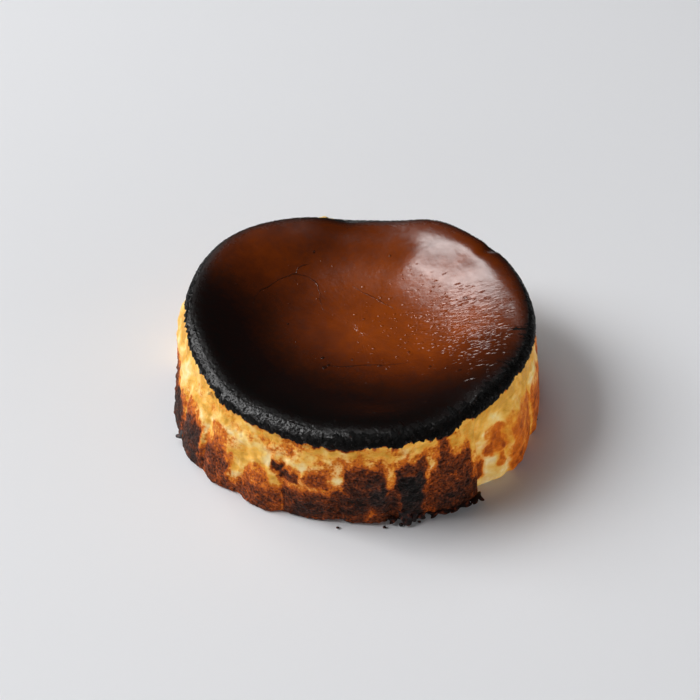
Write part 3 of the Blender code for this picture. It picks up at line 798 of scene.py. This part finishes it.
def paint_as_skin(piece, darker=0.0):
    """Paints a piece as burnt as the skin is there, plus darker paint for shade, with no grit and no
    crinkles.
    """
    places = np.empty(len(piece.data.vertices) * 3, np.float32)
    piece.data.vertices.foreach_get("co", places)
    place_x, place_y, _ = places.reshape(-1, 3).T / MM
    x, y = place_x - TIN_AXIS[0], place_y - TIN_AXIS[1]
    bearing = np.degrees(np.arctan2(x, -y))
    burn_light_and_shade = burn_and_light_at(x, y, np.hypot(x, y) / (lip_radius(bearing) - crest_inset(bearing)))
    paint(piece, "burn_light_and_shade", np.clip(burn_light_and_shade + darker, 0, 1))
    paint(piece, "char", 0.0)
    paint(piece, "crinkle", 0.0)


blister_rng = np.random.default_rng(BLISTER_SEED)
tries = blister_rng.uniform(-64, 64, (BLISTER_TRIES, 2))
crowding = STRAY_SHARE + sum(
    share * np.exp(-(((tries[:, 0] - x) / half_x) ** 2) - ((tries[:, 1] - y) / half_y) ** 2)
    for x, y, half_x, half_y, share in BLISTER_CROWDS
)
crowding *= eased(BACK_RIGHT_LIMIT - BACK_RIGHT_SLOPE * tries[:, 0] - tries[:, 1], -6, 6)
kept = (blister_rng.uniform(0, 1, BLISTER_TRIES) < crowding) & (np.hypot(*tries.T) < BLISTERED_RADIUS)
blister_x, blister_y = tries[kept].T
count = len(blister_x)
to_the_right = np.clip((blister_x - 12) / 34, 0.0, 1)
blister_size = blister_rng.uniform(0.30, 0.68, count) * (1.05 - 0.1 * to_the_right)
blister_height = blister_size * blister_rng.uniform(0.06, 0.34, count) * (0.7 + 0.5 * to_the_right)
blister_turn = blister_rng.normal(0.12, 0.22, count)
blister_stretch = blister_rng.uniform(1.0, 1.8, count)
blister_stretch += blister_rng.uniform(0.3, 3.2, count) * to_the_right**2
domes = dome_shells(blister_x, blister_y, blister_size, blister_height, blister_turn, blister_stretch)
blisters = shells_object("blisters", domes, len(DOME_RINGS), DOME_ROUND)
paint_as_skin(blisters)
blisters.data.materials.append(skin_finish)
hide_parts("cheesecake")
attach(blisters, "root")

# Wrinkles
# Where the custard sank as it cooled, the tight skin was left too wide for it and puckered into a few fine
# ridges. They are the skin itself, painted a little darker than it is round them: painted shade of the
# creases.

# Half width and height in mm, painted shade (how much darker), and path in mm about the tin's axis.
WRINKLES = (
    (0.46, 0.04, 0.17, (
        (-45, 11), (-43.5, 20), (-38, 26.5), (-34, 31), (-28, 34), (-22, 33), (-18, 29), (-17, 22), (-15, 13),
    )),
    (0.60, 0.06, 0.24, ((-3, 29), (3, 24), (8, 20), (15, 14))),
    (0.45, 0.05, 0.16, ((-17, -20.5), (-8, -21.5), (2, -20.5), (11, -21), (21, -19.5))),
    (0.35, 0.05, 0.20, ((-28, 33.5), (-26, 38), (-21, 41))),
)
WRINKLE_WANDER = 0.35
WRINKLE_ROOT = 0.3
WRINKLE_SINK = 0.05
WRINKLE_SEED = 300
WRINKLE_ROWS = 150
WRINKLE_ROUND = 10


def ridge_shell(half_width, height, path, seed):
    """A closed ridge along a path on the skin: an arched section that wavers and thins out at both ends."""
    at = np.linspace(0, len(path) - 1, WRINKLE_ROWS + 2)
    middle = np.stack([cubic_through(np.arange(len(path)), axis, at) for axis in np.array(path, float).T], -1)
    ahead = np.gradient(middle, axis=0)
    side = np.stack([-ahead[:, 1], ahead[:, 0]], -1) / np.hypot(*ahead.T)[:, None]
    far = np.cumsum(np.hypot(*np.diff(middle, axis=0, prepend=middle[:1]).T))
    middle = middle + side * WRINKLE_WANDER * blotches(far, 3.0, 3.0, seed)[:, None]
    ease = np.sqrt(np.sin(np.pi * np.linspace(0, 1, WRINKLE_ROWS + 2)).clip(0, 1))
    ease *= 0.75 + 0.35 * blotches(far, 0.0, 2.2, seed + 1)
    turn = np.arange(WRINKLE_ROUND) / WRINKLE_ROUND * 2 * np.pi
    across = np.cos(turn)[None, :] * half_width * ease[:, None]
    x, y = middle[:, :1] + side[:, :1] * across, middle[:, 1:] + side[:, 1:] * across
    arch = np.abs(np.sin(turn)) ** 1.6 * height * ease[:, None]
    under = -np.abs(np.sin(turn)) * WRINKLE_ROOT - WRINKLE_SINK
    rows = about_axis(x, y, dish_height(x, y) + np.where(np.sin(turn) > 0, arch, under))
    return joined_shells(rows[None, :1, 0], rows[None, 1:-1], rows[None, -1:, 0])


ridges = np.concatenate([
    ridge_shell(half_width, height, path, WRINKLE_SEED + k)
    for k, (half_width, height, _, path) in enumerate(WRINKLES)
])
wrinkles = shells_object("wrinkles", ridges, WRINKLE_ROWS, WRINKLE_ROUND)
# The darker paint is painted shade of the creases.
paint_as_skin(wrinkles, np.repeat([row[2] for row in WRINKLES], WRINKLE_ROWS * WRINKLE_ROUND + 2))
wrinkles.data.materials.append(skin_finish)
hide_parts("cheesecake")
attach(wrinkles, "root")

# Pit specks
# Little flat domes set in the skin, painted darker than it as the painted shade of small pits. They are as
# hard and glossy as the skin.

# Place in mm about the tin's axis, size and height in mm.
SPECKS = (
    (-15, -16, 0.8, 0.1), (-14, -22, 1.1, 0.12), (-12.5, -20.5, 0.7, 0.1), (8, -21, 0.9, 0.1),
    (20, -13, 0.8, 0.1), (45, 15, 1, 0.14), (-3, -17, 0.5, 0.06), (28, -24, 0.6, 0.08), (-30, 4, 0.5, 0.06),
    (2, 8, 0.5, 0.06), (14, 44, 0.6, 0.08), (33, 2, 0.7, 0.08), (-20, 46, 0.6, 0.06), (39, -30, 0.7, 0.08),
)
SPECK_PAINTED_SHADE = 0.20
speck_x, speck_y, speck_size, speck_height = np.array(SPECKS).T
domes = dome_shells(
    speck_x, speck_y, speck_size, speck_height, 0.4 * speck_x, 1 + 0.5 * np.abs(np.sin(speck_y)))
specks = shells_object("pit_shade_specks", domes, len(DOME_RINGS), DOME_ROUND)
paint_as_skin(specks, SPECK_PAINTED_SHADE)
specks.data.materials.append(skin_finish)
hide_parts("cheesecake")
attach(specks, "root")

# Charred rim
# Round the edge the skin has burnt to a brittle black crust, thicker than the skin and rough with grit. It
# starts ragged a little outside the crest and breaks off in teeth over the pale side.

# Where the crust starts, as bearing and how far down the rim: at the crest in front and on the right, lower
# down where the tight skin still shows between.
CRUST_FROM = (
    (-180, 0.62), (-120, 0.55), (-104, 0), (-90, 0.25), (-78, 0.5), (-62, 0.36), (-45, 0.42), (-32, 0.56),
    (-16, 0.5), (-9, 0.2), (-2, -0.03), (60, -0.03), (95, -0.02), (118, 0.3), (150, 0.62),
)
CRUST_THICKNESS = 0.18
CRUST_SINK = 0.08
CRUST_LEAST_WIDTH = 0.08
RIM_TURNS = 1560
RIM_ROWS = 26


def band_faces(rows, count):
    """Quads of a closed band of rows that close round: each row joins the next, and the last the first."""
    here = np.arange(rows * count).reshape(rows, count)
    there, next_row = np.roll(here, -1, 1), np.roll(here, -1, 0)
    return [np.stack([here, next_row, np.roll(next_row, -1, 1), there], -1).reshape(-1, 4)]


rim_bearings = np.arange(RIM_TURNS) / RIM_TURNS * 360.0
rim_girth = girth_mm(rim_bearings)
rim_reach = np.interp(rim_bearings, skin_bearings, reach, period=360) + 0.02
teeth = 0.07 * blotches(rim_girth, 0.0, 0.8, 401, GIRTH) + 0.05 * blotches(rim_girth, 0.0, 1.7, 403, GIRTH)
rim_reach = np.clip(rim_reach + teeth, 0.12, 1.1)
rim_start = np.interp(rim_bearings, *np.array(CRUST_FROM).T, period=360)
rim_start += 0.09 * mottling(rim_girth, 0.0, 5.0, 405, GIRTH, 4)
rim_start = np.minimum(rim_start, rim_reach - CRUST_LEAST_WIDTH)
rim_share = np.linspace(0, 1, RIM_ROWS)[:, None]
rim_across = 1 + rim_start + (rim_reach - rim_start) * rim_share
rim_round = np.broadcast_to(rim_bearings, rim_across.shape)
rim_along = girth_mm(rim_round)
crust_lift = (
    CRUST_THICKNESS * eased(rim_share, 0.0, 0.3) + CRUST_SINK
    + 0.22 * mottling(rim_along, rim_across * SKIN_RIM_MM, 1.8, 411, GIRTH, 3)
    + 0.10 * blotches(rim_along, rim_across * SKIN_RIM_MM, 0.75, 415, GIRTH)
) * eased(rim_share, -0.05, 0.12) - CRUST_SINK
crust_outer = placed(rim_round, *skin_points(rim_round, rim_across, crust_lift))
crust_under = [
    placed(rim_bearings, *skin_points(rim_bearings, 1 + rim_start + (rim_reach - rim_start) * share, -depth))
    for share, depth in ((1.0, 0.25), (0.97, 0.7), (0.7, 0.9), (0.35, 0.9), (0.02, 0.6))
]
rim_rings = np.concatenate([crust_outer, crust_under])
charred_rim = mesh_object("charred_rim", rim_rings.reshape(-1, 3), band_faces(len(rim_rings), RIM_TURNS))

# Rim char: burnt sugar and milk turned to carbon, porous and black, dull red-brown only where it has cracked.
CRACK_MM = 2.2
ASH_MM = 0.7
rim_finish, tree, shader = new_material("rim_char")
place = node(tree, "TexCoord", output="Object")
cracks = node(tree, "TexNoise", {
    "Vector": place, "Scale": 1 / (CRACK_MM * MM), "Detail": 6, "Roughness": 0.7,
})
tones = node(tree, "ValToRGB", (cracks,))
colour_stops(tones, [(0.42, "#020202"), (0.60, "#070504"), (0.70, "#220E08"), (0.80, "#4E2214")])
ash = node(tree, "TexNoise", {"Vector": place, "Scale": 1 / (ASH_MM * MM), "Detail": 4, "Roughness": 0.7})
crags = node(tree, "Math", (cracks, ash), operation="ADD")
feed(shader, {
    "Base Color": tones, "Roughness": 0.42, "IOR": 1.4, "Specular IOR Level": 0.15,
    "Normal": node(tree, "Bump", {"Height": crags, "Strength": 1.0, "Distance": 0.5 * MM}),
})
charred_rim.data.materials.append(rim_finish)
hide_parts("cheesecake")
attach(charred_rim, "root")

# Rim grit
# Crumbs of char stuck to the crust, about half a millimetre across at most. They have broken from it and
# cling where they fell, and they thin out inside the crest.

GRIT_SEED = 23
GRIT_COUNT = 5000
GRIT_ROWS = 3
GRIT_ROUND = 6
GRIT_SPREAD = (1.5, 1.1)


def lump_shells(centres, sizes, rows, count, seed):
    """Small closed lumps, made in mm: ellipsoids whose points are pushed in and out at random."""
    rng = np.random.default_rng(seed)
    tilt = np.radians(np.linspace(-90, 90, rows + 2))[None, :, None]
    turn = (np.arange(count) / count * 2 * np.pi)[None, None, :] + rng.uniform(0, 6.3, (len(centres), 1, 1))
    swell = 1 + rng.uniform(-0.28, 0.28, (len(centres), rows + 2, count))
    swell[:, 0], swell[:, -1] = 1.0, 1.0
    level = np.cos(tilt)
    directions = np.stack(np.broadcast_arrays(level * np.cos(turn), level * np.sin(turn), np.sin(tilt)), -1)
    points = centres[:, None, None] + sizes[:, None, None] * directions * swell[..., None]
    return joined_shells(points[:, 0, 0], points[:, 1:-1], points[:, -1, 0]) * MM


grit_rng = np.random.default_rng(GRIT_SEED)
grit_bearing = grit_rng.uniform(-180, 180, GRIT_COUNT)
grit_reach = np.interp(grit_bearing % 360, rim_bearings, rim_reach, period=360)
grit_across = 1 + grit_reach * grit_rng.beta(*GRIT_SPREAD, GRIT_COUNT) * 1.04
grit_across = grit_across - 0.05 * grit_rng.uniform(0, 1, GRIT_COUNT)
grit_size = grit_rng.uniform(0.09, 0.22, GRIT_COUNT)[:, None] * grit_rng.uniform(0.7, 1.3, (GRIT_COUNT, 3))
grit_place = placed(grit_bearing, *skin_points(grit_bearing, grit_across, 0.06)) / MM
grit_lumps = lump_shells(grit_place, grit_size, GRIT_ROWS, GRIT_ROUND, GRIT_SEED)
rim_grit = shells_object("rim_grit", grit_lumps, GRIT_ROWS, GRIT_ROUND)
rim_grit.data.materials.append(rim_finish)
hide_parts("cheesecake")
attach(rim_grit, "root")

# Torn flakes
# Chips of crust that tore part way off the foot when the paper was peeled away. They are dry and charred,
# with red-brown where they broke, and each still hangs from the side by its root.

# Bearing, root radius, root height, length, width and thickness in mm, and degrees that it hangs down.
FLAKES = (
    (13.4, 73.6, 6.4, 7.6, 5.2, 2.6, 42), (15.8, 74.2, 5.8, 5.8, 3.6, 2, 46),
    (12.4, 74.4, 4.8, 5.6, 2.6, 1.6, 34), (-66.5, 79, 4.4, 4.2, 4, 1.8, 26),
    (18.2, 75.2, 2.4, 2.6, 3.6, 1.3, 30), (21.4, 75.6, 1.9, 2.7, 5.2, 1.2, 20),
    (24.8, 76, 1.8, 2.6, 6.6, 1.2, 12), (28.2, 76.6, 1.8, 2.7, 7, 1.2, 9), (31.6, 76.8, 1.8, 2.9, 7, 1.2, 6),
    (34.6, 76.8, 2, 3.6, 5.2, 1.2, 3), (36.6, 76.6, 2.2, 4.4, 3.2, 0.9, 4), (9.2, 75, 2.4, 2.2, 4, 1, 26),
)
FLAKE_TAPER = 0.62
FLAKE_SWAY = 0.12
FLAKE_WAVE = 5.0
FLAKE_DROOP = 0.1
FLAKE_CLEARANCE = 0.25
FLAKE_SEED = 201
FLAKE_ROWS = 34
FLAKE_ROUND = 24


def signed_power(value, power):
    """value to that power, with its sign kept: a power under 1 squares a circle off."""
    return np.sign(value) * np.abs(value) ** power


def flake_shells(table, seed):
    """Points of closed chips, one shell each. Rows run from root to tip: each is a squared-off oval whose
    width and thickness taper and close at both ends, whose edge is nibbled by blotches, and which sways and
    droops."""
    bearing, root, height, length, width, thickness, down = (c[:, None, None] for c in np.array(table).T)
    along = np.linspace(0.0, 1.0, FLAKE_ROWS + 2)[1:-1][None, :, None]
    turn = -(np.arange(FLAKE_ROUND) / FLAKE_ROUND * 2 * np.pi)[None, None, :]
    mark = np.arange(len(table))[:, None, None] * 17.0
    nibble = 1 + 0.34 * mottling(along * length + mark, np.cos(turn) * width / 2 + mark, 1.5, seed, None, 3)
    pitted = 1 + 0.40 * mottling(along * length + mark, turn * 1.5 + mark, 0.9, seed + 9, None, 3)
    taper = (1 - FLAKE_TAPER * along) * np.sqrt(np.clip(1 - (np.abs(2 * along - 1) ** 9), 0, 1))
    sway = FLAKE_SWAY * np.sin(FLAKE_WAVE * along + bearing)
    droop = FLAKE_DROOP * length * along**2
    sideways = width * (signed_power(np.cos(turn), 0.7) / 2 * taper * nibble + sway)
    lift = thickness * (signed_power(np.sin(turn), 0.9) / 2 * taper * pitted + sway) - droop

    def in_place(outwards, across, up):
        """Those distances from the root, turned down and round to the flake's bearing, in metres."""
        dip, spin = np.radians(down), np.radians(bearing)
        reach_out = outwards * np.cos(dip) + up * np.sin(dip)
        rise = np.maximum(height - outwards * np.sin(dip) + up * np.cos(dip), FLAKE_CLEARANCE)
        x = TIN_AXIS[0] + (root + reach_out) * np.sin(spin) - across * np.cos(spin)
        y = TIN_AXIS[1] - (root + reach_out) * np.cos(spin) - across * np.sin(spin)
        return np.stack(np.broadcast_arrays(x, y, rise), -1) * MM

    tip = in_place(length, (width * sway)[:, -1:], (thickness * sway - droop)[:, -1:])
    return joined_shells(in_place(*[0 * length] * 3), in_place(along * length, sideways, lift), tip)


flakes = shells_object("torn_flakes", flake_shells(FLAKES, FLAKE_SEED), FLAKE_ROWS, FLAKE_ROUND)

# Charred crust: dry, brittle and nearly black, with dull red-brown where it broke.
BREAK_MM = 1.6
char_finish, tree, shader = new_material("charred_crust")
place = node(tree, "TexCoord", output="Object")
breaks = node(tree, "TexNoise", {
    "Vector": place, "Scale": 1 / (BREAK_MM * MM), "Detail": 5, "Roughness": 0.65,
})
tones = node(tree, "ValToRGB", (breaks,))
colour_stops(tones, [(0.36, "#0D0B0A"), (0.52, "#1C1110"), (0.60, "#4A2016"), (0.70, "#8A4A2C")])
feed(shader, {
    "Base Color": tones, "Roughness": 0.5, "IOR": 1.45,
    "Normal": node(tree, "Bump", {"Height": breaks, "Strength": 0.8, "Distance": 0.4 * MM}),
})
flakes.data.materials.append(char_finish)
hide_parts("cheesecake")
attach(flakes, "root")

# Crumbs
# Dark crumbs of the same crust as the flakes, one to two millimetres across. They broke off as the paper was
# peeled away and lie loose at the foot.

# Bearing, distance from the axis and half height in mm, and the half width as a share of the half height.
CRUMBS = (
    (-6.4, 77.4, 0.45, 1.3), (6.9, 77.3, 0.5, 1.3), (11.6, 77.2, 0.6, 1.5), (74.4, 78, 0.4, 1.4),
    (22.4, 76.6, 0.6, 1.3), (27, 77.4, 0.4, 1.3), (34, 78.3, 0.35, 1.4), (122, 79, 0.45, 1.3),
    (160, 76.4, 0.5, 1.3), (-138, 82, 0.4, 1.3), (17, 77.6, 0.45, 1.4),
)
CRUMB_SEED = 31
CRUMB_ROWS = 6
CRUMB_ROUND = 10
crumb_bearing, crumb_radius, crumb_half, crumb_share = np.array(CRUMBS).T
crumb_place = placed(crumb_bearing, crumb_radius, crumb_half) / MM
crumb_size = np.stack([crumb_half * crumb_share, crumb_half * crumb_share * 0.8, crumb_half], -1)
crumb_lumps = lump_shells(crumb_place, crumb_size, CRUMB_ROWS, CRUMB_ROUND, CRUMB_SEED)
crumb_lumps[..., 2] = np.maximum(crumb_lumps[..., 2], 0)
crumbs = shells_object("crumbs", crumb_lumps, CRUMB_ROWS, CRUMB_ROUND)
crumbs.data.materials.append(char_finish)
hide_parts("cheesecake")
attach(crumbs, "root")

# Curd beads
# Pale curd, the same custard as the side, that welled up over the rim's outer edge as the cake rose and set
# there in soft beads.

# Bearing, distance from the axis, height, and half sizes across and up in mm.
CURDS = (
    (-166.5, 68.9, 39.8, 2.5, 1.4), (-164, 69.8, 39.2, 2.2, 1), (-169.2, 68.2, 39.2, 2.2, 1),
    (75.5, 68.6, 38.6, 1.1, 0.8), (78, 69.4, 38, 0.9, 0.7), (103.5, 72.6, 38.8, 0.9, 0.8),
    (-55, 70.6, 36.6, 0.9, 0.7), (128, 74, 37.2, 1, 0.8),
)
CURD_SEED = 37
CURD_ROWS = 9
CURD_ROUND = 16
curd_bearing, curd_radius, curd_height, curd_half, curd_up = np.array(CURDS).T
curd_place = placed(curd_bearing, curd_radius, curd_height) / MM
curd_size = np.stack([curd_half, curd_half, curd_up], -1)
curd_lumps = lump_shells(curd_place, curd_size, CURD_ROWS, CURD_ROUND, CURD_SEED)
curds = shells_object("curd_beads", curd_lumps, CURD_ROWS, CURD_ROUND)
for name, value in (("browning_and_shade", 0.08), ("gold", 0.35), ("greying", 0.0), ("crumbly", 0.2)):
    paint(curds, name, value)
curds.data.materials.append(custard)
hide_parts("cheesecake")
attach(curds, "root")

# Floor
# A plain, pale, matt board under the cake, painted and quite flat. It is wide enough to fill the view, and it
# catches the cake's soft shadow.

FLOOR_HALF = 1.5
floor = mesh_object(
    "floor", FLOOR_HALF * np.array([(-1, -1, 0), (1, -1, 0), (1, 1, 0), (-1, 1, 0)]),
    [np.array([[0, 1, 2, 3]])],
)
floor_paint, _, shader = new_material("pale_floor")
feed(shader, {"Base Color": linear("#E6E7EA"), "Roughness": 0.7})
floor.data.materials.append(floor_paint)

# Light
# A large soft window on the left lights the cake, and a smaller one, higher and further back, only shows as
# the highlight in the sunken top. A wide sky from the same side and two low fills, in front and on the right,
# light the matt parts only.


def soft_light(name, direction, distance, width, height, watts, mirrored=True, scattered=True):
    """A rectangular light at that direction and distance from the cake, facing it. mirrored and scattered say
    whether it shows in gloss and whether it lights matt surfaces."""
    lamp = bpy.data.lights.new(name, "AREA")
    lamp.shape = "RECTANGLE"
    lamp.size, lamp.size_y = width, height
    lamp.energy = watts
    made = bpy.data.objects.new(name, lamp)
    aim = Vector(direction).normalized()
    made.location = aim * distance
    made.rotation_euler = aim.to_track_quat("Z", "Y").to_euler()
    made.visible_glossy, made.visible_diffuse = mirrored, scattered
    bpy.context.scene.collection.objects.link(made)


HIGH_BACK = (-0.31, 0.47, 0.82)
soft_light("window_left", (-0.76, 0.15, 0.60), 5.5, 3.0, 3.0, 345.0)
soft_light("window_back", HIGH_BACK, 4.0, 0.9, 1.5, 44.0, scattered=False)
soft_light("sky", HIGH_BACK, 4.0, 2.0, 2.0, 35.0, mirrored=False)
soft_light("front_fill", (-0.20, -0.97, 0.10), 3.2, 5.0, 1.4, 38.0, mirrored=False)
soft_light("right_fill", (0.88, -0.45, 0.07), 3.2, 4.0, 1.0, 70.0, mirrored=False)

world = bpy.data.worlds.new("studio")
world.use_nodes = True
feed(world.node_tree.nodes["Background"], {"Color": linear("#F2F4F8"), "Strength": 0.02})
bpy.context.scene.world = world
bpy.context.scene.view_settings.view_transform = "Standard"

# Camera
# A 50 mm lens on a 36 mm sensor, in front of the cake and a little to its left. Its pitch is how far down it
# looks, in degrees, and its place is in mm from the middle of the base.

CAMERA_PITCH = 43.43
CAMERA_PLACE = (-3.265, -296.89, 305.0)
camera_data = bpy.data.cameras.new("camera")
camera_data.lens = 50.0
camera_data.sensor_width = 36.0
camera_data.clip_start = 0.01
camera = bpy.data.objects.new("camera", camera_data)
camera.location = Vector(CAMERA_PLACE) * MM
camera.rotation_euler = (math.radians(90 - CAMERA_PITCH), 0, 0)
bpy.context.scene.collection.objects.link(camera)
bpy.context.scene.camera = camera
